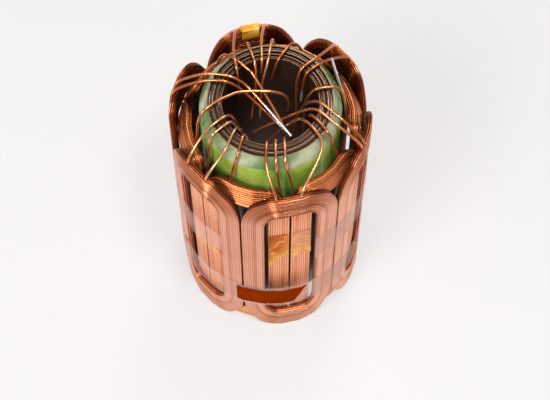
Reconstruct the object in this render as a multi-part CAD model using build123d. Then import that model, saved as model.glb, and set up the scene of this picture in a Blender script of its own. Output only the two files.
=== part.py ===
# Stator winding of a slotless motor: a strip-wound toroidal core that stands inside two rings of flat coils.
# Millimetres. +Z is the core's axis, z = 0 is the surface that it stands on, and coil 1 of the outer ring
# faces -Y.
# An azimuth is counted in degrees from -Y towards +X.
import math
import os

from build123d import *

# Core, from the bore outwards
bore_radius = 19.1
inner_roll_wall = 2.3
sleeve_wall = 0.6
sleeve_recess_depth = 1.2
outer_roll_wall = 3.0
shell_wall = 3.3
bevel_height = 5.2
core_height = 142.7
core_rise_height = 8.7

# Coils
coil_count = 6
coil_panels = 5
wire_diameter = 1.0
wire_layers = 3
layer_pitch_share = 0.866
core_gap = 6.57
ring_gap = 0.3
coil_gap = 0.2
corner_facets = 5

# Outer ring
outer_window_share = 0.55
outer_end_turn_height = 15.0
outer_corner_width = 15.0
outer_corner_height = 25.0
outer_window_corner_width = 6.5
outer_window_corner_height = 9.5
groove_width = 0.4
groove_depth = 0.4
groove_shares = [0.25, 0.5, 0.75]

# Inner ring, whose upper ends stop lower and lean in towards the core
inner_window_share = 0.54
inner_shortfall_height = 4.0
inner_end_turn_height = 9.2
inner_corner_width = 9.0
inner_window_corner_width = 5.8
lean_height = 11.0
lean_angle = 20.0

# Tapes
tape_thickness = 0.15
tape_width = 20.4
lower_tape_share = 0.186
upper_tape_share = 0.521
upper_tape_start_angle = 15.0
upper_tape_end_angle = -42.0
amber_tape_width = 14.8
amber_tape_start_angle = -34.0
amber_tape_end_angle = 10.0
amber_slant_width = 5.8
tab_start_angle = 174.5
tab_end_angle = 185.5
tab_height = 5.7

# Torn tape in the front window, as shares of half the inner coil's width and of the tape's width above the
# upper tape's lower edge
torn_left_shares = [(0.55, 1.28), (0.98, 1.30), (0.98, 0.50), (0.74, 0.05), (0.55, -0.20)]
torn_right_shares = [(-0.98, 1.28), (-0.55, 1.24), (-0.55, 0.20), (-0.76, 0.36), (-0.98, 0.08)]

# Lead wires
lead_diameter = 1.15
lead_sides = 6
lead_rise_height = 3.0
lead_tail_length = 8.0
lead_contact_gap = 0.05
lead_arch_height = 0.5
lead_drop_height = 13.6
rim_clearance = 0.9
mouth_inset_width = 2.2

# One row a lead: its node, the azimuths of its start, of the core's rim and of the bore's mouth, the share
# of lead_arch_height over the core, and then each point in the bore as (azimuth, share of bore_radius,
# share of lead_drop_height)
outer_lead_shares = [
    ("outer_lead_1a", -9, -16, -17, 1.0, [(-19, 0.70, 1.0), (-38, 0.55, 2.3)]),
    ("outer_lead_1b", 5, 35, 44, 1.4, [(62, 0.55, 0.60), (330, 0.30, 1.75)]),
    ("outer_lead_2a", 56, 61, 78, 1.0, [(92, 0.60, 0.80), (40, 0.50, 2.1)]),
    ("outer_lead_2b", 53, 54, 66, 1.0, [(74, 0.50, 0.70), (285, 0.42, 1.45)]),
    ("outer_lead_3a", 126, 123, 127, 1.0, [(122, 0.72, 1.0), (95, 0.60, 2.2)]),
    ("outer_lead_3b", 114, 117, 118, 1.2, [(109, 0.75, 1.0)]),
    ("outer_lead_4a", 189, 198, 217, 4.2, [(222, 0.80, 0.90)]),
    ("outer_lead_4b", 171, 175, 179, 1.0, [(181, 0.84, 0.40)]),
    ("outer_lead_5a", 240, 233, 222, 1.0, [(212, 0.60, 0.35), (24, 0.72, 0.65)]),
    ("outer_lead_5b", 246, 240, 231, 1.6, [(224, 0.56, 0.45), (32, 0.62, 1.05)]),
    ("outer_lead_6a", 308, 310, 299, 1.0, [(297, 0.72, 0.95), (314, 0.62, 2.2)]),
    ("outer_lead_6b", 293, 286, 279, 1.8, [(270, 0.74, 0.80), (283, 0.62, 1.9)]),
]
inner_lead_shares = [
    ("inner_lead_1a", 4, -1, 6, 1.0, [(14, 0.66, 1.0), (70, 0.30, 2.2)]),
    ("inner_lead_1b", 46, 43, 56, 1.0, [(59, 0.84, 0.20)]),
    ("inner_lead_2a", 76, 90, 93, 1.0, [(97, 0.70, 1.0), (62, 0.76, 2.0)]),
    ("inner_lead_3a", 139, 148, 160, 1.0, [(167, 0.80, 0.80)]),
    ("inner_lead_3b", 164, 166, 171, 1.0, [(190, 0.58, 0.70), (215, 0.30, 1.6)]),
    ("inner_lead_4a", 184, 187, 188, 1.0, [(201, 0.55, 0.60), (245, 0.42, 1.35)]),
    ("inner_lead_4b", 216, 209, 201, 1.0, [(195, 0.70, 0.10), (20, 0.45, 0.40)]),
    ("inner_lead_5a", 276, 271, 252, 1.4, [(236, 0.64, 0.0), (104, 0.56, 0.15), (112, 0.42, 1.25)]),
    ("inner_lead_5b", 296, 292, 289, 1.0, [(286, 0.80, 0.60)]),
    ("inner_lead_6a", -6, -8, -6, 1.0, [(-4, 0.64, 1.1), (-20, 0.28, 2.5)]),
    ("inner_lead_6b", 317, 321, 312, 1.0, [(306, 0.72, 0.90)]),
]
# The lead that stands up beside the rim: azimuths of its start and tip, and the share of lead_drop_height
# that it rises
upright_lead_start_angle = 96
upright_lead_tip_angle = 112
upright_lead_share = 0.30

# Sizes that follow
coil_height = core_height - core_rise_height
inner_coil_height = coil_height - inner_shortfall_height
bend_height = inner_coil_height - lean_height
lean = math.radians(lean_angle)
lower_tape_height = coil_height * lower_tape_share
upper_tape_height = coil_height * upper_tape_share
coil_thickness = wire_diameter * (1 + (wire_layers - 1) * layer_pitch_share)
inner_roll_radius = bore_radius + inner_roll_wall
sleeve_radius = inner_roll_radius + sleeve_wall
outer_roll_radius = sleeve_radius + outer_roll_wall
shell_radius = outer_roll_radius + shell_wall
# A coil folds into flat panels, and a panel's face is its distance from the axis.
coil_angle = 360 / coil_count
panel_angle = coil_angle / coil_panels
fold_slope = math.tan(math.radians(panel_angle / 2))
inner_ring_face = shell_radius + core_gap
inner_drum_face = inner_ring_face + coil_thickness
outer_ring_face = inner_drum_face + ring_gap
drum_face = outer_ring_face + coil_thickness

# The flat loop of each ring's coils, before it is folded
outer_loop = {
    "face": drum_face,
    "top": coil_height,
    "end": outer_end_turn_height,
    "window_share": outer_window_share,
    "corner": (outer_corner_width, outer_corner_height),
    "window_corner": (outer_window_corner_width, outer_window_corner_height),
}
inner_loop = {
    "face": inner_drum_face,
    "top": inner_coil_height,
    "end": inner_end_turn_height,
    "window_share": inner_window_share,
    "corner": (inner_corner_width, lean_height),
    "window_corner": (inner_window_corner_width, lean_height - inner_end_turn_height),
}


def polar(radius, azimuth, height):
    turn = math.radians(azimuth)
    return Vector(radius * math.sin(turn), -radius * math.cos(turn), height)


def panel_plane(face, azimuth):
    # x runs round the drum, y up and z outwards.
    return Plane(
        origin=polar(face, azimuth, 0),
        x_dir=polar(1, azimuth + 90, 0),
        z_dir=polar(1, azimuth, 0),
    )


def panel_width(face):
    return 2 * face * fold_slope


def fold_radius(face):
    return face / math.cos(math.radians(panel_angle / 2))


def drum_prism(face, bottom, height):
    # The solid drum whose panels all lie at one distance from the axis.
    outline = RegularPolygon(fold_radius(face), round(360 / panel_angle))
    return Pos(0, 0, bottom) * extrude(outline, amount=height)


def drum_band(face, thickness, bottom, height):
    return drum_prism(face + thickness, bottom, height) - drum_prism(face, bottom, height)


def sector(start, end):
    # A wedge of less than half the circle, taller and wider than the part.
    reach = 2 * (drum_face + core_height)
    outline = make_face(Polyline(polar(0, 0, 0), polar(reach, start, 0), polar(reach, end, 0), close=True))
    return Pos(0, 0, -core_height) * extrude(outline, amount=3 * core_height)


def ring_of(outline):
    # Turns an outline of (radius, height) corners round the axis.
    corners = [(radius, 0, height) for radius, height in outline]
    return revolve(make_face(Polyline(*corners, close=True)), Axis.Z)


def tube(inside, outside, bottom, top):
    return ring_of([(inside, bottom), (outside, bottom), (outside, top), (inside, top)])


# Core: two nested rolls of strip with a recessed sleeve between them, in a shell with bevelled rims
def core_parts():
    sleeve_top = core_height - sleeve_recess_depth
    shell = [
        (outer_roll_radius, 0),
        (shell_radius, bevel_height),
        (shell_radius, core_height - bevel_height),
        (outer_roll_radius, core_height),
    ]
    return {
        "inner_strip_roll": tube(bore_radius, inner_roll_radius, 0, core_height),
        "core_sleeve": tube(inner_roll_radius, sleeve_radius, sleeve_recess_depth, sleeve_top),
        "outer_strip_roll": tube(sleeve_radius, outer_roll_radius, 0, core_height),
        "core_shell": ring_of(shell),
    }


# Coils: each is wound flat as a racetrack and then folded round the drum
def coil_half_width(face):
    # Leaves coil_gap to the next coil at the inside of the fold between them.
    return coil_panels * panel_width(face) / 2 - coil_thickness * fold_slope - coil_gap / 2


def between(start, end, share):
    return start + (end - start) * share


def top_corner(loop, share):
    # The upper right corner of one turn, down to its leg: share 0 is the window's edge, share 1 the outside.
    half_width = coil_half_width(loop["face"])
    across = between(half_width * loop["window_share"], half_width, share)
    top = between(loop["top"] - loop["end"], loop["top"], share)
    width = between(loop["window_corner"][0], loop["corner"][0], share)
    height = between(loop["window_corner"][1], loop["corner"][1], share)
    points = []
    for number in range(corner_facets + 1):
        turn = math.pi / 2 * number / corner_facets
        points.append((across - width * (1 - math.sin(turn)), top - height * (1 - math.cos(turn))))
    return points


def mirrored(points):
    return [(-x, y) for x, y in points[::-1]]


def racetrack(loop, share):
    corner = top_corner(loop, share)
    right = corner + [(x, loop["top"] - y) for x, y in corner[::-1]]
    return make_face(Polyline(*right, *mirrored(right), close=True))


def strip(loop):
    return racetrack(loop, 1) - racetrack(loop, 0)


def folded(outline, face, depth):
    # Folds a flat outline round the drum, panel by panel, and gives it depth inwards from the face.
    panels = []
    for number in range(coil_panels):
        turn = number - (coil_panels - 1) / 2
        flat = panel_plane(face, turn * panel_angle) * (Pos(-turn * panel_width(face), 0) * outline)
        wedge = sector((turn - 0.5) * panel_angle, (turn + 0.5) * panel_angle)
        panels.append(extrude(flat, amount=-depth) & wedge)
    return Part() + panels


def leaning_arch(loop):
    # The end above the bend: each panel is a plate that tapers as it leans in from the bend.
    face = loop["face"]
    outside = top_corner(loop, 1)
    window = top_corner(loop, 0)
    outline = mirrored(outside) + outside + window[::-1] + mirrored(window)[::-1]
    plates = []
    for number in range(coil_panels):
        turn = number - (coil_panels - 1) / 2
        azimuth = turn * panel_angle
        corners = []
        for x, y in outline:
            rise = y - bend_height
            taper = 1 - rise * math.sin(lean) / face
            corners.append(((x - turn * panel_width(face)) * taper, rise))
        slope = Plane(
            origin=polar(face, azimuth, bend_height),
            x_dir=polar(1, azimuth + 90, 0),
            z_dir=polar(math.cos(lean), azimuth, math.sin(lean)),
        )
        plate = extrude(slope * make_face(Polyline(*corners, close=True)), amount=-coil_thickness)
        plates.append(plate & sector((turn - 0.5) * panel_angle, (turn + 0.5) * panel_angle))
    return plates


def leaning_coil(loop):
    below_bend = Pos(0, bend_height / 2) * Rectangle(2 * drum_face, bend_height)
    return folded(strip(loop) & below_bend, loop["face"], coil_thickness) + leaning_arch(loop)


def turn_grooves(loop):
    # The grooves between the bundles of turns on the face.
    reach = groove_width / coil_half_width(loop["face"]) / (1 - loop["window_share"]) / 2
    rings = []
    for share in groove_shares:
        ring = racetrack(loop, share + reach) - racetrack(loop, share - reach)
        rings.append(folded(ring, loop["face"], groove_depth))
    return rings


def coil_parts():
    parts = {}
    outer_coil = folded(strip(outer_loop), drum_face, coil_thickness) - turn_grooves(outer_loop)
    inner_coil = leaning_coil(inner_loop)
    for number in range(coil_count):
        azimuth = coil_angle * number
        parts[f"outer_coil_{number + 1}"] = Rot(Z=azimuth) * outer_coil
        parts[f"inner_coil_{number + 1}"] = Rot(Z=azimuth + coil_angle / 2) * inner_coil
    return parts


# Tapes: two bands round the drum, an amber strip on the lower one, torn ends in the front window, a tab
def torn_piece(azimuth, shares):
    half_width = coil_half_width(inner_drum_face)
    corners = [(across * half_width, upper_tape_height + up * tape_width) for across, up in shares]
    outline = make_face(Polyline(*corners, close=True))
    return Rot(Z=azimuth) * folded(outline, inner_drum_face + tape_thickness, tape_thickness)


def amber_strip():
    face = drum_face + tape_thickness
    bottom = lower_tape_height + (tape_width - amber_tape_width) / 2
    top = bottom + amber_tape_width
    band = drum_band(face, tape_thickness, bottom, amber_tape_width)
    end = face * math.tan(math.radians(amber_tape_end_angle - panel_angle))
    beyond = end + amber_slant_width
    corners = [(end, top), (beyond, top), (beyond, bottom), (end - amber_slant_width, bottom)]
    slant = panel_plane(face, panel_angle) * make_face(Polyline(*corners, close=True))
    strip = band & sector(amber_tape_start_angle, amber_tape_end_angle)
    return strip - extrude(slant, amount=tape_width, both=True)


def folded_tab():
    bottom = coil_height - tab_height
    outside = drum_prism(drum_face + tape_thickness, bottom, tab_height + tape_thickness)
    inside = drum_prism(outer_ring_face - tape_thickness, bottom, tab_height + tape_thickness)
    end_turn = drum_band(outer_ring_face, coil_thickness, bottom, tab_height)
    return (outside - inside - end_turn) & sector(tab_start_angle, tab_end_angle)


def tape_parts():
    upper = drum_band(drum_face, tape_thickness, upper_tape_height, tape_width)
    return {
        "lower_tape": drum_band(drum_face, tape_thickness, lower_tape_height, tape_width),
        "upper_tape": upper - sector(upper_tape_end_angle, upper_tape_start_angle),
        "amber_tape": amber_strip(),
        "torn_tape_left": torn_piece(-coil_angle / 2, torn_left_shares),
        "torn_tape_right": torn_piece(coil_angle / 2, torn_right_shares),
        "folded_tape_tab": folded_tab(),
    }


# Leads: the ends of each coil's wire, led over the core's rim into the bore
def face_radius(face, azimuth):
    # How far a panel's face lies from the axis at an azimuth that is counted from the middle of a coil.
    turn = (azimuth + panel_angle / 2) % panel_angle - panel_angle / 2
    return face / math.cos(math.radians(turn))


def wire(points):
    start = Plane(origin=points[0], z_dir=points[1] - points[0])
    section = start * RegularPolygon(lead_diameter / 2, lead_sides)
    return sweep(section, path=Polyline(*points), transition=Transition.RIGHT)


def outer_start(azimuth):
    # Stands on the top of an end turn of the outer ring.
    radius = face_radius(drum_face - coil_thickness / 2, azimuth)
    return [polar(radius, azimuth, coil_height), polar(radius, azimuth, coil_height + lead_rise_height)]


def inner_start(azimuth):
    # Runs up the inside of a coil of the inner ring and along its leaning end.
    depth = coil_thickness + lead_diameter / 2 + lead_contact_gap
    bend = bend_height - depth * math.tan(lean / 2)
    tail = face_radius(inner_drum_face - depth, azimuth - coil_angle / 2)
    end = face_radius(inner_drum_face - depth - lean_height * math.sin(lean), azimuth - coil_angle / 2)
    return [
        polar(tail, azimuth, bend - lead_tail_length),
        polar(tail, azimuth, bend),
        polar(end, azimuth, bend + lean_height * math.cos(lean)),
    ]


def over_core(rim, mouth, arch_share):
    rest = core_height + lead_diameter / 2
    top = rest + lead_arch_height * arch_share
    middle = (bore_radius + outer_roll_radius) / 2
    return [
        polar(shell_radius + rim_clearance, rim, core_height),
        polar(middle, (rim + mouth) / 2, top),
        polar(bore_radius - mouth_inset_width, mouth, rest),
    ]


def in_bore(shares):
    points = []
    for azimuth, out, down in shares:
        points.append(polar(bore_radius * out, azimuth, core_height - lead_drop_height * down))
    return points


def lead_parts():
    parts = {}
    for node, start, rim, mouth, arch_share, shares in outer_lead_shares:
        parts[node] = wire(outer_start(start) + over_core(rim, mouth, arch_share) + in_bore(shares))
    for node, start, rim, mouth, arch_share, shares in inner_lead_shares:
        parts[node] = wire(inner_start(start) + over_core(rim, mouth, arch_share) + in_bore(shares))
    tip_height = core_height + lead_drop_height * upright_lead_share
    tip = polar(shell_radius + rim_clearance, upright_lead_tip_angle, tip_height)
    parts["inner_lead_2b"] = wire(inner_start(upright_lead_start_angle) + [tip])
    return parts


os.makedirs("parts", exist_ok=True)
for node, solid in {**core_parts(), **coil_parts(), **tape_parts(), **lead_parts()}.items():
    export_step(solid, f"parts/{node}.step")
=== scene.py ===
import math
import random

import bpy
from mathutils import Matrix, Vector


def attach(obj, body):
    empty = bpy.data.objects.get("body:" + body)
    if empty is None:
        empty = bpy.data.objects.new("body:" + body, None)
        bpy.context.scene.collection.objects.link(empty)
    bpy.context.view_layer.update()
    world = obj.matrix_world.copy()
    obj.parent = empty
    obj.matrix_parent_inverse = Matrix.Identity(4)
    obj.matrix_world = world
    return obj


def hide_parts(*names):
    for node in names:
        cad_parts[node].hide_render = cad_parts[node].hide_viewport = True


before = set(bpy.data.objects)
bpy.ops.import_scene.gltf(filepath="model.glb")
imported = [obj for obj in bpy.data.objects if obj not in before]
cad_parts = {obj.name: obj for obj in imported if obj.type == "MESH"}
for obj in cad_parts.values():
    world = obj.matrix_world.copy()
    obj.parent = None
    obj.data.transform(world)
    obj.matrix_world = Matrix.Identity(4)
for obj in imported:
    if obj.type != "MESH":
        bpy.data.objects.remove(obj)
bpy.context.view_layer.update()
mm = 0.001
draw = random.Random(7)

# Sizes shared by the pieces, in millimetres and degrees, in the frame of the solids
drum = {
    "outerFace": 40.634, "innerFace": 37.602, "thickness": 2.732, "height": 134.0, "innerDrop": 4.0,
    "coils": 6, "panels": 5, "panelAngle": 12.0,
}
core = {
    "bore": 19.1, "innerRoll": 21.4, "sleeve": 22.0, "outerRoll": 25.0, "shell": 28.3,  # radii
    "height": 142.7, "bevel": 5.2,
}


def polar(radius, azimuth, height):
    turn = math.radians(azimuth)  # counted from -Y towards +X
    return Vector((radius * math.sin(turn), -radius * math.cos(turn), height)) * mm


def aboutAxis(azimuth):
    return Matrix.Rotation(math.radians(azimuth), 4, "Z")


def between(start, end, share):
    return start + (end - start) * share


# Camera
lens = {
    "height": 676.239, "back": 289.365, "side": 1.773, "azimuth": -12.374, "pitch": 65.213,
    "focal": 101.18, "sensor": 36, "clipEnd": 20,
}
bpy.ops.object.camera_add()
camera = bpy.context.object
camera.name = "photoCamera"
camera.location = aboutAxis(lens["azimuth"]) @ (Vector((lens["side"], -lens["back"], lens["height"])) * mm)
camera.rotation_euler = (math.radians(90 - lens["pitch"]), 0, math.radians(lens["azimuth"]))
camera.data.sensor_width = lens["sensor"]
camera.data.lens = lens["focal"]
camera.data.clip_end = lens["clipEnd"]
bpy.context.scene.camera = camera
print("camera set")


# Node helpers for the materials
def makeNode(tree, kind, **values):
    node = tree.nodes.new(kind)
    for name, value in values.items():
        if name in node.inputs:
            node.inputs[name].default_value = value
        else:
            setattr(node, name, value)
    return node


def groupNode(tree, group, **values):
    return makeNode(tree, "ShaderNodeGroup", node_tree=group, **values)


def attributeNode(tree, name):
    return makeNode(tree, "ShaderNodeAttribute", attribute_name=name).outputs["Fac"]


def ramp(tree, source, stops):
    node = tree.nodes.new("ShaderNodeValToRGB")
    marks = node.color_ramp.elements
    while len(marks) < len(stops):
        marks.new(0.5)
    for mark, (place, colour) in zip(marks, stops):
        mark.position = place
        mark.color = (*colour, 1)
    tree.links.new(source, node.inputs["Fac"])
    return node.outputs["Color"]


def mathNode(tree, operation, first, second=None, third=None):
    node = makeNode(tree, "ShaderNodeMath", operation=operation)
    for socket, value in zip(node.inputs, (first, second, third)):
        if value is None:
            continue
        if isinstance(value, (int, float)):
            socket.default_value = value
        else:
            tree.links.new(value, socket)
    return node.outputs["Value"]


def mixColour(tree, factor, first, second):
    node = makeNode(tree, "ShaderNodeMix", data_type="RGBA")
    tree.links.new(factor, node.inputs[0])
    for socket, value in zip(node.inputs[6:8], (first, second)):  # the two colour sockets
        if isinstance(value, tuple):
            socket.default_value = (*value, 1)
        else:
            tree.links.new(value, socket)
    return node.outputs[2]


def newMaterial(name):
    material = bpy.data.materials.new(name)
    material.use_nodes = True
    tree = material.node_tree
    return material, tree, tree.nodes["Principled BSDF"]


def finishNode(node, material):
    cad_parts[node].data.materials.clear()
    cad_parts[node].data.materials.append(material)


# Group: blotches and fine grain from object coordinates
mottle = bpy.data.node_groups.new("mottle", "ShaderNodeTree")
mottle.interface.new_socket("Size", in_out="INPUT", socket_type="NodeSocketFloat")
mottle.interface.new_socket("Blotch", in_out="OUTPUT", socket_type="NodeSocketFloat")
mottle.interface.new_socket("Grain", in_out="OUTPUT", socket_type="NodeSocketFloat")
groupIn = mottle.nodes.new("NodeGroupInput")
groupOut = mottle.nodes.new("NodeGroupOutput")
place = mottle.nodes.new("ShaderNodeTexCoord")
blotch = makeNode(mottle, "ShaderNodeTexNoise", Detail=3.0, Roughness=0.55)
grain = makeNode(mottle, "ShaderNodeTexNoise", Scale=2600.0, Detail=2.0)
mottle.links.new(place.outputs["Object"], blotch.inputs["Vector"])
mottle.links.new(place.outputs["Object"], grain.inputs["Vector"])
mottle.links.new(groupIn.outputs["Size"], blotch.inputs["Scale"])
mottle.links.new(blotch.outputs["Fac"], groupOut.inputs["Blotch"])
mottle.links.new(grain.outputs["Fac"], groupOut.inputs["Grain"])

# Group: distance from the core's axis and height, in millimetres
axisPlace = bpy.data.node_groups.new("axisPlace", "ShaderNodeTree")
axisPlace.interface.new_socket("Radius", in_out="OUTPUT", socket_type="NodeSocketFloat")
axisPlace.interface.new_socket("Height", in_out="OUTPUT", socket_type="NodeSocketFloat")
axisOut = axisPlace.nodes.new("NodeGroupOutput")
axisCoord = axisPlace.nodes.new("ShaderNodeTexCoord")
axisSplit = axisPlace.nodes.new("ShaderNodeSeparateXYZ")
axisPlace.links.new(axisCoord.outputs["Object"], axisSplit.inputs["Vector"])
squares = [mathNode(axisPlace, "POWER", axisSplit.outputs[name], 2.0) for name in "XY"]
radius = mathNode(axisPlace, "SQRT", mathNode(axisPlace, "ADD", *squares))
axisPlace.links.new(mathNode(axisPlace, "MULTIPLY", radius, 1 / mm), axisOut.inputs["Radius"])
axisPlace.links.new(mathNode(axisPlace, "MULTIPLY", axisSplit.outputs["Z"], 1 / mm), axisOut.inputs["Height"])


# Copper: the tone of each wire comes from its mesh, with painted shade on the coils' inner layers and upper
# end turns
enamel = {"grainShare": 0.1, "coatRoughness": 0.14, "coatIndex": 1.5, "tinAndGlintColour": (0.88, 0.86, 0.82)}


def copperMaterial(name, spec):
    material, tree, shader = newMaterial(name)
    marks = groupNode(tree, mottle, Size=spec["blotchSize"])
    tone = attributeNode(tree, "wireTone")
    stain = mathNode(tree, "MULTIPLY", marks.outputs["Blotch"], 1 - spec["toneShare"])
    copper = ramp(tree, mathNode(tree, "MULTIPLY_ADD", tone, spec["toneShare"], stain), spec["tones"])
    colour = mixColour(tree, attributeNode(tree, "tinAndGlint"), copper, enamel["tinAndGlintColour"])
    tree.links.new(colour, shader.inputs["Base Color"])
    rough = mathNode(tree, "MULTIPLY_ADD", marks.outputs["Grain"], enamel["grainShare"], spec["roughness"])
    tree.links.new(rough, shader.inputs["Roughness"])
    shader.inputs["Metallic"].default_value = min(spec["metallic"], 1.0)
    if spec["metalFall"]:  # pale legs are more matt
        metal = mathNode(tree, "MULTIPLY_ADD", tone, spec["metalFall"], spec["metallic"])
        tree.links.new(mathNode(tree, "MINIMUM", metal, 1.0), shader.inputs["Metallic"])
    shader.inputs["Coat Weight"].default_value = spec["coat"]
    shader.inputs["Coat Roughness"].default_value = enamel["coatRoughness"]
    shader.inputs["Coat IOR"].default_value = enamel["coatIndex"]
    return material


outerCopper = copperMaterial("outerCopper", {
    "blotchSize": 55.0, "toneShare": 0.72, "roughness": 0.25, "coat": 0.06,
    "metallic": 1.0, "metalFall": -0.04,
    "tones": [
        (0.2, (0.085, 0.016, 0.004)), (0.36, (0.37, 0.095, 0.032)), (0.52, (0.66, 0.225, 0.10)),
        (0.70, (0.84, 0.375, 0.225)), (0.9, (0.92, 0.48, 0.33)),
    ],
})
innerCopper = copperMaterial("innerCopper", {
    "blotchSize": 55.0, "toneShare": 0.72, "roughness": 0.23, "coat": 0.12,
    "metallic": 1.35, "metalFall": -1.0,
    "tones": [
        (0.16, (0.13, 0.024, 0.006)), (0.36, (0.40, 0.10, 0.03)), (0.5, (0.66, 0.19, 0.058)),
        (0.68, (0.90, 0.33, 0.135)), (0.9, (0.95, 0.41, 0.20)),
    ],
})
leadCopper = copperMaterial("leadCopper", {
    "blotchSize": 90.0, "toneShare": 0.5, "roughness": 0.16, "coat": 0.5,
    "metallic": 0.85, "metalFall": 0.0,
    "tones": [(0.2, (0.52, 0.135, 0.035)), (0.5, (0.76, 0.25, 0.08)), (0.8, (0.88, 0.40, 0.19))],
})


# Wire helpers: a curve with a round bevel becomes a mesh
def newWire(name):
    bpy.ops.object.select_all(action="DESELECT")
    bpy.ops.curve.primitive_nurbs_path_add()
    wire = bpy.context.object
    wire.name = name
    wire.data.splines.clear()
    return wire


def addSpline(wire, kind, points):
    spline = wire.data.splines.new(kind)
    spline.points.add(len(points) - 1)
    for point, spot in zip(spline.points, points):
        point.co = (*spot, 1)
    return spline


def meshWire(wire, diameter, roundness, material):
    wire.data.dimensions = "3D"
    wire.data.bevel_depth = diameter / 2 * mm
    wire.data.bevel_resolution = roundness
    bpy.ops.object.convert(target="MESH")
    wire = bpy.context.object
    wire.data.materials.clear()
    wire.data.materials.append(material)
    return wire


def setAttribute(piece, name, values):
    piece.data.attributes.new(name, "FLOAT", "POINT").data.foreach_set("value", values)


# Coils: every turn is a closed wire on the folded racetrack, in three layers
winding = {
    "cornerSteps": 12, "legSteps": 8, "endSteps": 14, "roundness": 2, "endShadeFade": 9,
    "waves": 3, "firstWave": 2, "wavePhases": (0, 6.28), "waveSizes": (0.5, 1.0),  # how a turn sinks
}
outerCoil = {
    "node": "outer_coil", "material": outerCopper, "azimuth": 0, "face": drum["outerFace"],
    "top": drum["height"], "endTurn": 15.0, "halfWidth": 20.967, "windowShare": 0.55,
    "windowCorner": (6.5, 9.5), "outerCorner": (15.0, 25.0),
    "lean": 0.0, "leanHeight": 0.0, "wire": 0.95, "turns": 11, "sink": 0.12, "endSink": 0.2,
    "layerTonesAndShade": [(0.55, 1.0), (0.3, 0.6), (0.0, 0.25)], "endShade": 0.62,
}
innerCoil = {
    "node": "inner_coil", "material": innerCopper, "azimuth": 30, "face": drum["innerFace"],
    "top": drum["height"] - drum["innerDrop"], "endTurn": 9.2, "halfWidth": 19.374, "windowShare": 0.54,
    "windowCorner": (5.8, 1.8), "outerCorner": (9.0, 11.0),
    "lean": 26.3, "leanHeight": 8.5, "wire": 1.01, "turns": 9, "sink": 0.05, "endSink": 0.26,
    "layerTonesAndShade": [(0.65, 1.0), (0.2, 0.5), (0.0, 0.25)], "endShade": 0.6,
}


def foldedPoint(coil, across, height, depth):
    face = coil["face"]
    width = 2 * face * math.tan(math.radians(drum["panelAngle"] / 2))
    limit = (drum["panels"] - 1) // 2
    panel = max(-limit, min(limit, round(across / width)))
    turn = math.radians(panel * drum["panelAngle"])
    lean = math.radians(coil["lean"])
    rise = height - (coil["top"] - coil["leanHeight"])  # above the bend
    out = face - depth
    if lean and rise > 0:
        out = face - rise * math.sin(lean) - depth * math.cos(lean)
        height += rise * (math.cos(lean) - 1) - depth * math.sin(lean)
    side = (across - panel * width) * out / face
    x = out * math.sin(turn) + side * math.cos(turn)
    y = -out * math.cos(turn) + side * math.sin(turn)
    return Vector((x, y, height)) * mm


def turnLoop(coil, share, depth):
    half = coil["halfWidth"]
    across = between(half * coil["windowShare"], half, share)
    top = between(coil["top"] - coil["endTurn"], coil["top"], share)
    width = between(coil["windowCorner"][0], coil["outerCorner"][0], share)
    height = between(coil["windowCorner"][1], coil["outerCorner"][1], share)
    waves = []
    for _ in range(winding["waves"]):
        waves.append((draw.uniform(*winding["wavePhases"]), draw.uniform(*winding["waveSizes"])))
    corner = []
    for step in range(winding["cornerSteps"] + 1):
        turn = math.pi / 2 * step / winding["cornerSteps"]
        corner.append((across - width * (1 - math.sin(turn)), top - height * (1 - math.cos(turn))))
    legSteps, endSteps = winding["legSteps"], winding["endSteps"]
    flat = 2 * (across - width)
    legLength = 2 * (top - height) - coil["top"]
    right = list(corner)
    right += [(across, top - height - legLength * step / legSteps) for step in range(1, legSteps)]
    right += [(x, coil["top"] - y) for x, y in corner[::-1]]
    bottom = [(flat / 2 - flat * step / endSteps, coil["top"] - top) for step in range(1, endSteps)]
    left = [(-x, y) for x, y in right[::-1]]
    upper = [(-flat / 2 + flat * step / endSteps, top) for step in range(1, endSteps)]
    path = right + bottom + left + upper
    points = []
    for number, (x, y) in enumerate(path):
        way = 2 * math.pi * number / len(path)
        sink = 0
        for wave, (start, size) in enumerate(waves):
            sink += size * (1 + math.sin((wave + winding["firstWave"]) * way + start))
        sink /= 2 * winding["waves"]
        sink *= coil["endSink"] if y > coil["top"] - coil["endTurn"] else coil["sink"]
        points.append(foldedPoint(coil, x, y, depth + sink))
    return points


def woundCoil(name, coil):
    strand = newWire(name)
    tones = []
    row, edges = range(coil["turns"]), (0, coil["turns"] - 1)
    layers = (row, edges, row)  # the middle layer shows at its edges only
    for layer, turns in enumerate(layers):
        depth = between(coil["wire"] / 2, drum["thickness"] - coil["wire"] / 2, layer / (len(layers) - 1))
        for turn in turns:
            loop = turnLoop(coil, (turn + 0.5) / coil["turns"], depth)
            spline = addSpline(strand, "POLY", loop)
            spline.use_cyclic_u = True
            spline.use_smooth = True
            # painted shade: each layer's tones are darker the further in it lies, standing for the shade on
            # the coils' inside faces; within a layer the tone differs at random
            tone = draw.uniform(*coil["layerTonesAndShade"][layer])
            for spot in loop:  # painted shade: the upper end turns are darker than the legs
                above = spot.z / mm - coil["top"] + coil["endTurn"] + winding["endShadeFade"]
                endShadeShare = min(1, max(0, above / winding["endShadeFade"]))
                tones.append(tone * between(1, coil["endShade"], endShadeShare))
    strand = meshWire(strand, coil["wire"], winding["roundness"], coil["material"])
    around = len(strand.data.vertices) // len(tones)
    setAttribute(strand, "wireTone", [tone for tone in tones for _ in range(around)])
    return strand


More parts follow.
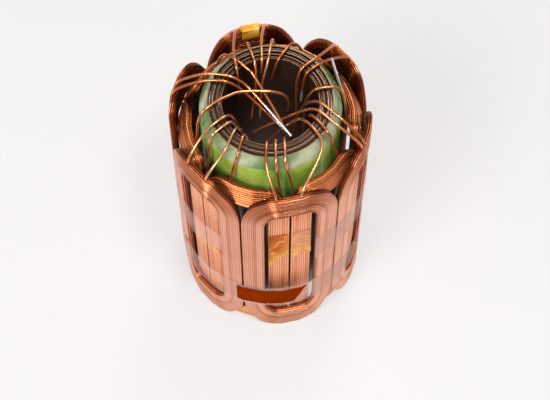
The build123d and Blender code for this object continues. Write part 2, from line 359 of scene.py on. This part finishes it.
def ringOfCoils(label, coil):
    model = woundCoil(label + "1", coil)
    model.data.transform(aboutAxis(coil["azimuth"]))
    for number in range(drum["coils"]):
        piece = model
        if number:
            piece = bpy.data.objects.new(f"{label}{number + 1}", model.data.copy())
            bpy.context.collection.objects.link(piece)
            piece.data.transform(aboutAxis(360 / drum["coils"] * number))
        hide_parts(f"{coil['node']}_{number + 1}")
        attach(piece, "root")


ringOfCoils("coilOuter", outerCoil)
ringOfCoils("coilInner", innerCoil)
print("coils wound")


# Core: profiles turned round the axis
turning = {"steps": 128, "mergeDistance": 1e-6, "smoothAngle": 25}


def turned(name, profile, material, node):
    bpy.ops.object.select_all(action="DESELECT")
    bpy.ops.mesh.primitive_circle_add(vertices=len(profile))
    ring = bpy.context.object
    ring.name = name
    for vertex, (radius, height) in zip(ring.data.vertices, profile):
        vertex.co = (radius * mm, 0, height * mm)
    bpy.ops.object.modifier_add(type="SCREW")
    screw = ring.modifiers[-1]
    screw.steps = turning["steps"]
    screw.render_steps = turning["steps"]
    screw.use_merge_vertices = True
    screw.merge_threshold = turning["mergeDistance"]
    bpy.ops.object.modifier_apply(modifier=screw.name)
    bpy.ops.object.mode_set(mode="EDIT")
    bpy.ops.mesh.select_all(action="SELECT")
    bpy.ops.mesh.normals_make_consistent(inside=False)
    bpy.ops.object.mode_set(mode="OBJECT")
    bpy.ops.object.shade_smooth_by_angle(angle=math.radians(turning["smoothAngle"]))
    ring.data.materials.append(material)
    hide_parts(node)
    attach(ring, "root")


# Strip rolls: rings of strip edges, with fine dark lines between them and pale lines of painted highlight on
# the edges
strip = {
    "blotchSize": 60.0, "lineDensity": 1.5, "wobble": 0.12, "metallic": 0.8,
    "roughness": 0.24, "grainShare": 0.2,
    "stain": (0.13, 0.052, 0.022), "stainShare": 0.35, "wall": (0.14, 0.068, 0.045), "wallMargin": 0.06,
    # the palest tone is painted highlight on the strip edges; the dark tones are the lines between the
    # strip's turns
    "tones": [
        (0.34, (0.008, 0.005, 0.003)), (0.45, (0.085, 0.04, 0.02)), (0.58, (0.19, 0.105, 0.058)),
        (0.72, (0.68, 0.53, 0.41)),
    ],
    "flushEvery": 3, "leastDrop": 0.1, "flatShare": 0.72, "slopeShare": 0.86,
}
innerRoll = {
    "inside": core["bore"], "outside": core["innerRoll"], "rings": 6,
    "uneven": 0.55, "groove": 1.0, "gaps": (2, 4), "gapDepth": 2.6,
}
outerRoll = {
    "inside": core["sleeve"], "outside": core["outerRoll"], "rings": 8,
    "uneven": 0.45, "groove": 0.9, "gaps": (2, 5), "gapDepth": 2.2,
}
coreStrip, tree, shader = newMaterial("coreStrip")
spot = groupNode(tree, axisPlace)
marks = groupNode(tree, mottle, Size=strip["blotchSize"])
wobble = mathNode(tree, "MULTIPLY_ADD", marks.outputs["Blotch"], strip["wobble"], spot.outputs["Radius"])
lines = makeNode(tree, "ShaderNodeTexNoise", noise_dimensions="1D", Detail=2.0, Scale=1.0)
tree.links.new(mathNode(tree, "MULTIPLY", wobble, strip["lineDensity"]), lines.inputs["W"])
edgeToneAndGlints = ramp(tree, lines.outputs["Fac"], strip["tones"])
stainMask = mathNode(tree, "MULTIPLY", marks.outputs["Blotch"], strip["stainShare"])
worn = mixColour(tree, stainMask, edgeToneAndGlints, strip["stain"])
boreMask = mathNode(tree, "LESS_THAN", spot.outputs["Radius"], core["bore"] + strip["wallMargin"])
tree.links.new(mixColour(tree, boreMask, worn, strip["wall"]), shader.inputs["Base Color"])
rough = mathNode(tree, "MULTIPLY_ADD", marks.outputs["Grain"], strip["grainShare"], strip["roughness"])
tree.links.new(rough, shader.inputs["Roughness"])
shader.inputs["Metallic"].default_value = strip["metallic"]


def rollProfile(roll):
    inside, outside, top = roll["inside"], roll["outside"], core["height"]
    profile = [(inside, 0.0), (outside, 0.0)]
    width = (outside - inside) / roll["rings"]
    for number in range(roll["rings"]):  # ring after ring of strip edges, inwards
        edge = outside - number * width
        flush = number % strip["flushEvery"] == 1
        level = top if flush else top - draw.uniform(strip["leastDrop"], roll["uneven"])
        if number in roll["gaps"]:
            level = top - roll["gapDepth"]
        profile += [(edge, level), (edge - width * strip["flatShare"], level)]
        profile += [(edge - width * strip["slopeShare"], level - roll["groove"])]
    profile[-1] = (inside, profile[-1][1])
    return profile


turned("rollInner", rollProfile(innerRoll), coreStrip, "inner_strip_roll")
turned("rollOuter", rollProfile(outerRoll), coreStrip, "outer_strip_roll")

# Sleeve between the rolls
sleeve = {
    "blotchSize": 120.0, "roughness": 0.7,
    "tones": [(0.35, (0.008, 0.006, 0.005)), (0.7, (0.035, 0.025, 0.02))],
}
sleeveDark, tree, shader = newMaterial("sleeveDark")
marks = groupNode(tree, mottle, Size=sleeve["blotchSize"])
tree.links.new(ramp(tree, marks.outputs["Blotch"], sleeve["tones"]), shader.inputs["Base Color"])
shader.inputs["Roughness"].default_value = sleeve["roughness"]
finishNode("core_sleeve", sleeveDark)

# Shell: green wall, worn pale bevel, and painted shade darkening the wall below the coils' ends
shell = {
    "inside": core["outerRoll"], "outside": core["shell"], "round": 0.5,
    "shoulder": [(-0.06, -0.1), (-0.3, 0.34)], "lip": [(0.3, -0.39), (0.0, -0.1)],  # steps out and up
    "blotchSize": 70.0, "roughness": 0.18, "grainShare": 0.25, "coat": 0.3,
    "wearFrom": 137.8, "wearWave": 1.6, "wearRise": 1.1, "wearSoftness": 0.2,
    "paintedShade": (0.008, 0.012, 0.004),
    "paintedShadeFade": {"From Min": 98.0, "From Max": 124.0, "To Min": 0.12, "To Max": 1.0},
    "wallTones": [(0.3, (0.12, 0.33, 0.02)), (0.5, (0.31, 0.55, 0.055)), (0.72, (0.64, 0.65, 0.14))],
    "bevelTones": [
        (0.32, (0.03, 0.10, 0.015)), (0.44, (0.10, 0.19, 0.055)), (0.56, (0.19, 0.25, 0.11)),
        (0.70, (0.46, 0.48, 0.33)),
    ],
}
shellGreen, tree, shader = newMaterial("shellGreen")
spot = groupNode(tree, axisPlace)
marks = groupNode(tree, mottle, Size=shell["blotchSize"])
wear = mathNode(tree, "MULTIPLY_ADD", marks.outputs["Blotch"], shell["wearWave"], spot.outputs["Height"])
wear = mathNode(tree, "MULTIPLY_ADD", wear, shell["wearRise"], -shell["wearRise"] * shell["wearFrom"])
wear = mathNode(tree, "SMOOTH_MIN", mathNode(tree, "MAXIMUM", wear, 0.0), 1.0, shell["wearSoftness"])
# painted shade: the green wall fades to near black downwards from z 124 to z 98, in the gap behind the coils
paintedShade = makeNode(tree, "ShaderNodeMapRange", interpolation_type="SMOOTHSTEP", **shell["paintedShadeFade"])
tree.links.new(spot.outputs["Height"], paintedShade.inputs["Value"])
wall = ramp(tree, marks.outputs["Blotch"], shell["wallTones"])
wall = mixColour(tree, paintedShade.outputs["Result"], shell["paintedShade"], wall)
bevel = ramp(tree, marks.outputs["Blotch"], shell["bevelTones"])
tree.links.new(mixColour(tree, wear, wall, bevel), shader.inputs["Base Color"])
rough = mathNode(tree, "MULTIPLY_ADD", marks.outputs["Grain"], shell["grainShare"], shell["roughness"])
tree.links.new(rough, shader.inputs["Roughness"])
shader.inputs["Coat Weight"].default_value = shell["coat"]
shoulder = core["height"] - core["bevel"]
shellProfile = [(shell["inside"], 0.0), (shell["outside"], core["bevel"])]
shellProfile += [(shell["outside"], shoulder - shell["round"])]
shellProfile += [(shell["outside"] + out, shoulder + up) for out, up in shell["shoulder"]]
shellProfile += [(shell["inside"] + out, core["height"] + up) for out, up in shell["lip"]]
turned("shell", shellProfile, shellGreen, "core_shell")
print("core turned")


# Leads: one bent wire for each coil end, on the bend that the solids have
# A row gives the azimuths of its start, the rim and the mouth, its arch, and its places in the bore,
# each as azimuth, share of the bore's radius and share of the drop
leads = {
    "wire": 1.15, "rise": 3.0, "tail": 8.0, "gap": 0.05, "arch": 0.5, "drop": 13.6, "rim": 0.9, "mouth": 2.2,
    "lean": 20.0, "leanHeight": 11.0, "order": 3, "steps": 10, "roundness": 3,
    "outer": [
        ("outer_lead_1a", -9, -16, -17, 1.0, [(-19, 0.70, 1.0), (-38, 0.55, 2.3)]),
        ("outer_lead_1b", 5, 35, 44, 1.4, [(62, 0.55, 0.60), (330, 0.30, 1.75)]),
        ("outer_lead_2a", 56, 61, 78, 1.0, [(92, 0.60, 0.80), (40, 0.50, 2.1)]),
        ("outer_lead_2b", 53, 54, 66, 1.0, [(74, 0.50, 0.70), (285, 0.42, 1.45)]),
        ("outer_lead_3a", 126, 123, 127, 1.0, [(122, 0.72, 1.0), (95, 0.60, 2.2)]),
        ("outer_lead_3b", 114, 117, 118, 1.2, [(109, 0.75, 1.0)]),
        ("outer_lead_4a", 189, 198, 217, 4.2, [(222, 0.80, 0.90)]),
        ("outer_lead_4b", 171, 175, 179, 1.0, [(181, 0.84, 0.40)]),
        ("outer_lead_5a", 240, 233, 222, 1.0, [(212, 0.60, 0.35), (24, 0.72, 0.65)]),
        ("outer_lead_5b", 246, 240, 231, 1.6, [(224, 0.56, 0.45), (32, 0.62, 1.05)]),
        ("outer_lead_6a", 308, 310, 299, 1.0, [(297, 0.72, 0.95), (314, 0.62, 2.2)]),
        ("outer_lead_6b", 293, 286, 279, 1.8, [(270, 0.74, 0.80), (283, 0.62, 1.9)]),
    ],
    "inner": [
        ("inner_lead_1a", 4, -1, 6, 1.0, [(14, 0.66, 1.0), (70, 0.30, 2.2)]),
        ("inner_lead_1b", 46, 43, 56, 1.0, [(59, 0.84, 0.20)]),
        ("inner_lead_2a", 76, 90, 93, 1.0, [(97, 0.70, 1.0), (62, 0.76, 2.0)]),
        ("inner_lead_3a", 139, 148, 160, 1.0, [(167, 0.80, 0.80)]),
        ("inner_lead_3b", 164, 166, 171, 1.0, [(190, 0.58, 0.70), (215, 0.30, 1.6)]),
        ("inner_lead_4a", 184, 187, 188, 1.0, [(201, 0.55, 0.60), (245, 0.42, 1.35)]),
        ("inner_lead_4b", 216, 209, 201, 1.0, [(195, 0.70, 0.10), (20, 0.45, 0.40)]),
        ("inner_lead_5a", 276, 271, 252, 1.4, [(236, 0.64, 0.0), (104, 0.56, 0.15), (112, 0.42, 1.25)]),
        ("inner_lead_5b", 296, 292, 289, 1.0, [(286, 0.80, 0.60)]),
        ("inner_lead_6a", -6, -8, -6, 1.0, [(-4, 0.64, 1.1), (-20, 0.28, 2.5)]),
        ("inner_lead_6b", 317, 321, 312, 1.0, [(306, 0.72, 0.90)]),
    ],
    "upright": {"node": "inner_lead_2b", "start": 96, "rim": 112, "riseShare": 0.30, "inset": 0.03},
    "tinAndGlint": {  # lengths of bright tip: tinned ends, while on outer_lead_5a and outer_lead_5b the tin colour is painted highlight along their arcs
        "inner_lead_2b": 26.0, "inner_lead_3b": 5.0,
        "outer_lead_3b": 6.0, "outer_lead_5a": 16.0, "outer_lead_5b": 10.0,
    },
}


def faceRadius(face, azimuth):
    turn = (azimuth + drum["panelAngle"] / 2) % drum["panelAngle"] - drum["panelAngle"] / 2
    return face / math.cos(math.radians(turn))


def outerStart(azimuth):
    radius = faceRadius(drum["outerFace"] - drum["thickness"] / 2, azimuth)
    return [polar(radius, azimuth, drum["height"]), polar(radius, azimuth, drum["height"] + leads["rise"])]


def innerStart(azimuth):
    lean = math.radians(leads["lean"])
    depth = drum["thickness"] + leads["wire"] / 2 + leads["gap"]
    bend = innerCoil["top"] - leads["leanHeight"] - depth * math.tan(lean / 2)
    inside = drum["innerFace"] - depth
    tail = faceRadius(inside, azimuth - innerCoil["azimuth"])
    end = faceRadius(inside - leads["leanHeight"] * math.sin(lean), azimuth - innerCoil["azimuth"])
    top = bend + leads["leanHeight"] * math.cos(lean)
    return [polar(tail, azimuth, bend - leads["tail"]), polar(tail, azimuth, bend), polar(end, azimuth, top)]


def overCore(rim, mouth, arch, inBore):
    rest = core["height"] + leads["wire"] / 2
    points = [
        polar(core["shell"] + leads["rim"], rim, core["height"]),
        polar((core["bore"] + core["outerRoll"]) / 2, (rim + mouth) / 2, rest + leads["arch"] * arch),
        polar(core["bore"] - leads["mouth"], mouth, rest),
    ]
    for azimuth, outShare, dropShare in inBore:
        points.append(polar(core["bore"] * outShare, azimuth, core["height"] - leads["drop"] * dropShare))
    return points


def lead(node, points):
    wire = newWire("wire_" + node)
    spline = addSpline(wire, "NURBS", points)
    spline.order_u = leads["order"]
    spline.use_endpoint_u = True
    spline.resolution_u = leads["steps"]
    wire.data.use_fill_caps = True
    wire = meshWire(wire, leads["wire"], leads["roundness"], leadCopper)
    tip, reach = points[-1], leads["tinAndGlint"].get(node, 0.0) * mm
    bright = [1.0 if (vertex.co - tip).length < reach else 0.0 for vertex in wire.data.vertices]
    setAttribute(wire, "tinAndGlint", bright)
    setAttribute(wire, "wireTone", [draw.random()] * len(bright))
    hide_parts(node)
    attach(wire, "root")


for node, start, rim, mouth, arch, inBore in leads["outer"]:
    lead(node, outerStart(start) + overCore(rim, mouth, arch, inBore))
for node, start, rim, mouth, arch, inBore in leads["inner"]:
    lead(node, innerStart(start) + overCore(rim, mouth, arch, inBore))
upright = leads["upright"]
uprightTop = core["height"] + leads["drop"] * upright["riseShare"] - upright["inset"]
uprightTip = polar(core["shell"] + leads["rim"], upright["rim"], uprightTop)
lead(upright["node"], innerStart(upright["start"]) + [uprightTip])
print("leads bent")


# Tapes: the solids' own forms with film finishes
def filmMaterial(name, spec):
    material, tree, shader = newMaterial(name)
    marks = groupNode(tree, mottle, Size=spec["blotchSize"])
    tree.links.new(ramp(tree, marks.outputs["Blotch"], spec["tones"]), shader.inputs["Base Color"])
    shader.inputs["Alpha"].default_value = spec["alpha"]
    if spec["alphaSwing"]:
        cover = mathNode(tree, "MULTIPLY_ADD", marks.outputs["Blotch"], spec["alphaSwing"], spec["alpha"])
        tree.links.new(cover, shader.inputs["Alpha"])
    rough = mathNode(tree, "MULTIPLY_ADD", marks.outputs["Grain"], spec["grainShare"], spec["roughness"])
    tree.links.new(rough, shader.inputs["Roughness"])
    shader.inputs["Specular IOR Level"].default_value = spec["specular"]
    return material


clearFilm = filmMaterial("clearFilm", {
    "blotchSize": 80.0, "alpha": 0.05, "alphaSwing": 0.26,
    "roughness": 0.3, "grainShare": 0.15, "specular": 0.45,
    "tones": [(0.3, (0.80, 0.45, 0.34)), (0.7, (0.88, 0.62, 0.52))],
})
amberFilm = filmMaterial("amberFilm", {
    "blotchSize": 90.0, "alpha": 1.0, "alphaSwing": 0.0,
    "roughness": 0.3, "grainShare": 0.15, "specular": 0.0,
    "tones": [(0.3, (0.19, 0.017, 0.0003)), (0.7, (0.27, 0.031, 0.001))],
})
tabFilm = filmMaterial("tabFilm", {
    "blotchSize": 260.0, "alpha": 0.78, "alphaSwing": 0.3,
    "roughness": 0.2, "grainShare": 0.15, "specular": 0.2,
    "tones": [(0.3, (0.60, 0.21, 0.006)), (0.55, (0.78, 0.36, 0.02)), (0.75, (0.92, 0.60, 0.14))],
})
films = {
    "lower_tape": clearFilm, "upper_tape": clearFilm, "amber_tape": amberFilm, "folded_tape_tab": tabFilm,
}
for node, film in films.items():
    finishNode(node, film)

# Torn ends: films with ragged lower edges that curl off the wires
torn = {
    "blotchSize": 300.0, "alpha": 0.58, "alphaSwing": 0.5, "roughness": 0.18, "specular": 0.04,
    # the palest tone is painted highlight, glints on the film; the others are the film's own tones
    "tones": [
        (0.36, (0.46, 0.075, 0.002)), (0.54, (0.64, 0.14, 0.008)), (0.64, (0.82, 0.28, 0.05)),
        (0.72, (0.94, 0.62, 0.34)),
    ],
    "thin": (0.95, 0.47, 0.24), "frayed": (0.90, 0.46, 0.08), "film": 0.05, "smoothAngle": 40,
    "base": 69.814, "tapeWidth": 20.4, "columns": 30, "rows": 16, "ragged": 0.07, "rest": 0.06,
    "curl": 0.9, "curlPower": 3, "curlShare": 0.6, "curlSwing": 0.4, "curlWaves": 9, "frayPower": 4,
    "ends": {  # heights as shares of the tape's width
        "torn_tape_left": {
            "azimuth": -30.0, "sheer": 0.0, "across": (0.55, 0.98),
            "high": [1.28, 1.30], "low": [-0.20, 0.0, 0.14, 0.36, 0.50],
        },
        "torn_tape_right": {
            "azimuth": 30.0, "sheer": 0.65, "across": (-0.98, -0.55),
            "high": [1.28, 1.24], "low": [0.08, 0.22, 0.36, 0.28, 0.20],
        },
    },
}
tornFilm, tree, shader = newMaterial("tornFilm")
marks = groupNode(tree, mottle, Size=torn["blotchSize"])
filmToneAndGlints = ramp(tree, marks.outputs["Blotch"], torn["tones"])
filmToneAndGlints = mixColour(tree, attributeNode(tree, "sheer"), filmToneAndGlints, torn["thin"])  # the copper shows through
filmToneAndGlints = mixColour(tree, attributeNode(tree, "fray"), filmToneAndGlints, torn["frayed"])
tree.links.new(filmToneAndGlints, shader.inputs["Base Color"])
cover = mathNode(tree, "MULTIPLY_ADD", marks.outputs["Blotch"], torn["alphaSwing"], torn["alpha"])
tree.links.new(cover, shader.inputs["Alpha"])
shader.inputs["Roughness"].default_value = torn["roughness"]
shader.inputs["Specular IOR Level"].default_value = torn["specular"]


def newFilm(name, columns, rows):
    bpy.ops.object.select_all(action="DESELECT")
    bpy.ops.mesh.primitive_grid_add(x_subdivisions=columns, y_subdivisions=rows)
    film = bpy.context.object
    film.name = name
    return film


def thicken(film):
    bpy.ops.object.modifier_add(type="SOLIDIFY")
    film.modifiers[-1].thickness = torn["film"] * mm
    bpy.ops.object.modifier_apply(modifier=film.modifiers[-1].name)
    film.data.materials.append(tornFilm)


def along(values, share):
    spot = share * (len(values) - 1)
    first = min(int(spot), len(values) - 2)
    return between(values[first], values[first + 1], spot - first)


for node, end in torn["ends"].items():
    film = newFilm(node + "_film", torn["columns"], torn["rows"])
    ragged = [draw.uniform(-1, 1) * torn["ragged"] for _ in range(torn["columns"] + 1)]
    frayed = []
    for vertex in film.data.vertices:
        side, up = (vertex.co.x + 1) / 2, (vertex.co.y + 1) / 2
        low = along(end["low"], side) + ragged[round(side * torn["columns"])]
        height = torn["base"] + between(low, along(end["high"], side), up) * torn["tapeWidth"]
        swing = torn["curlShare"] + torn["curlSwing"] * math.sin(torn["curlWaves"] * side + end["azimuth"])
        lift = torn["rest"] + torn["curl"] * (1 - up) ** torn["curlPower"] * swing
        across = between(*end["across"], side) * innerCoil["halfWidth"]
        vertex.co = foldedPoint(innerCoil, across, height, -lift)
        frayed.append((1 - up) ** torn["frayPower"])
    setAttribute(film, "fray", frayed)
    setAttribute(film, "sheer", [end["sheer"]] * len(frayed))
    film.data.transform(aboutAxis(end["azimuth"]))
    thicken(film)
    bpy.ops.object.shade_smooth_by_angle(angle=math.radians(torn["smoothAngle"]))
    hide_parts(node)
    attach(film, "root")

# Scraps of amber film left at the edges of the bands
scraps = {
    "columns": 8, "rows": 10, "ragged": 0.35, "rimFrom": 0.99, "rest": 0.18, "curl": 0.12, "curlPower": 3,
    "widthShare": 1.2, "taperShare": 0.5,
    "places": [  # azimuth, height, width, length
        (-44.3, 72.5, 2.6, 4.2), (-79.0, 44.0, 2.2, 3.6), (83.0, 44.5, 2.4, 4.0),
    ],
}
for number, (azimuth, height, width, tall) in enumerate(scraps["places"]):
    scrap = newFilm(f"amberScrap{number + 1}", scraps["columns"], scraps["rows"])
    face = faceRadius(drum["outerFace"], azimuth)
    for vertex in scrap.data.vertices:
        side, up = vertex.co.x / 2, vertex.co.y / 2
        atRim = max(abs(side), abs(up)) * 2 > scraps["rimFrom"]
        out = face + scraps["rest"] + scraps["curl"] * (0.5 - up) ** scraps["curlPower"]
        wander = draw.uniform(-1, 1) * scraps["ragged"] * atRim
        reach = side * width * (scraps["widthShare"] - scraps["taperShare"] * up)
        vertex.co = polar(out, azimuth + math.degrees((reach + wander) / out), height + up * tall + wander)
    thicken(scrap)
    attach(scrap, "root")
print("tapes laid")

# Stage: a pale floor that metal mirrors too, a soft key from the left, a small lamp above, one from behind
ground = {
    "size": 12, "blotchSize": 1.2, "roughness": 0.6, "specular": 0.2, "glow": 1.0, "glowShare": 0.68,
    "tones": [(0.3, (0.80, 0.78, 0.78)), (0.7, (0.86, 0.85, 0.845))],
}
floorPale, tree, shader = newMaterial("floorPale")
marks = groupNode(tree, mottle, Size=ground["blotchSize"])
paleTone = ramp(tree, marks.outputs["Blotch"], ground["tones"])
tree.links.new(paleTone, shader.inputs["Base Color"])
shader.inputs["Roughness"].default_value = ground["roughness"]
shader.inputs["Specular IOR Level"].default_value = ground["specular"]
glow = makeNode(tree, "ShaderNodeEmission", Strength=ground["glow"])
tree.links.new(paleTone, glow.inputs["Color"])
ray = tree.nodes.new("ShaderNodeLightPath").outputs
seen = mathNode(tree, "MAXIMUM", ray["Is Glossy Ray"], ray["Is Transmission Ray"])
seen = mathNode(tree, "MAXIMUM", ray["Is Camera Ray"], seen)
blend = tree.nodes.new("ShaderNodeMixShader")
tree.links.new(mathNode(tree, "MULTIPLY", seen, ground["glowShare"]), blend.inputs["Fac"])
tree.links.new(shader.outputs["BSDF"], blend.inputs[1])
tree.links.new(glow.outputs["Emission"], blend.inputs[2])
tree.links.new(blend.outputs["Shader"], tree.nodes["Material Output"].inputs["Surface"])
bpy.ops.mesh.primitive_plane_add(size=ground["size"])
floor = bpy.context.object
floor.name = "floor"
floor.data.materials.append(floorPale)

lamps = {  # distances and sizes in metres
    "key": {"azimuth": -52.0, "elevation": 52.0, "distance": 1.5, "size": 0.5, "power": 13.0},
    "lamp": {"azimuth": 24.0, "elevation": 74.0, "distance": 1.3, "size": 0.2, "power": 6.5},
    "rimLight": {"azimuth": 152.0, "elevation": 60.0, "distance": 1.3, "size": 0.32, "power": 4.4},
}
lampAim = Vector((0, 0, 0.08))
for name, lamp in lamps.items():
    rise, reach = math.radians(lamp["elevation"]), lamp["distance"] / mm
    spot = polar(reach * math.cos(rise), lamp["azimuth"], reach * math.sin(rise))
    bpy.ops.object.light_add(type="AREA", location=spot)
    light = bpy.context.object
    light.name = name
    light.data.size = lamp["size"]
    light.data.energy = lamp["power"]
    light.rotation_euler = (lampAim - spot).to_track_quat("-Z", "Y").to_euler()

surround = {"colour": (1, 0.995, 0.99, 1), "strength": 0.36}
world = bpy.data.worlds.new("surround")
bpy.context.scene.world = world
world.use_nodes = True
background = world.node_tree.nodes["Background"]
background.inputs["Color"].default_value = surround["colour"]
background.inputs["Strength"].default_value = surround["strength"]
bpy.context.scene.view_settings.view_transform = "Standard"
print("stage set")
